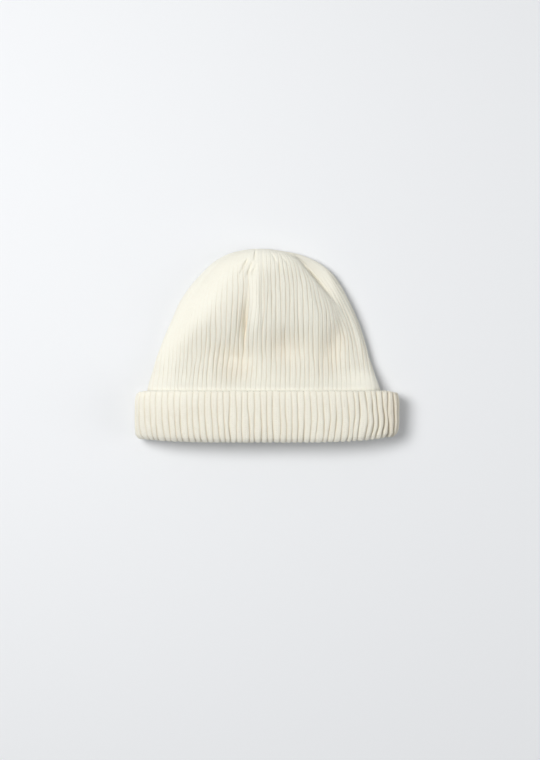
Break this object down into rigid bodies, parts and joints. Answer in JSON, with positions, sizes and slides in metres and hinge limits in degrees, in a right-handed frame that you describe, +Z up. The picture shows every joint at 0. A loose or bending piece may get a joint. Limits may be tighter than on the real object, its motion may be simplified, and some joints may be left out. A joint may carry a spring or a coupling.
{
  "type": "cuffed beanie",
  "caption": "Rib-knit beanie lying on its back: hollow crown with ribs drawn together at the top, and a deep turned-up cuff round an open mouth.",
  "frame": {"origin": "on the surface that the hat lies on, under the middle of its box", "axes": "+X along the cuff, +Y from the mouth towards the top of the crown, +Z up, from the back of the hat to its front"},
  "size_m": [0.228, 0.1686, 0.0385],
  "materials": {
    "crown_knit": "cream cotton yarn in a fine rib knit, matt and softly fuzzy",
    "cuff_knit": "cream cotton yarn in a fine rib knit, relaxed, with wider ribs than the crown, matt and softly fuzzy"
  },
  "bodies": {
    "root": {"crown": "crown_knit", "cuff": "cuff_knit"}
  },
  "joints": []
}
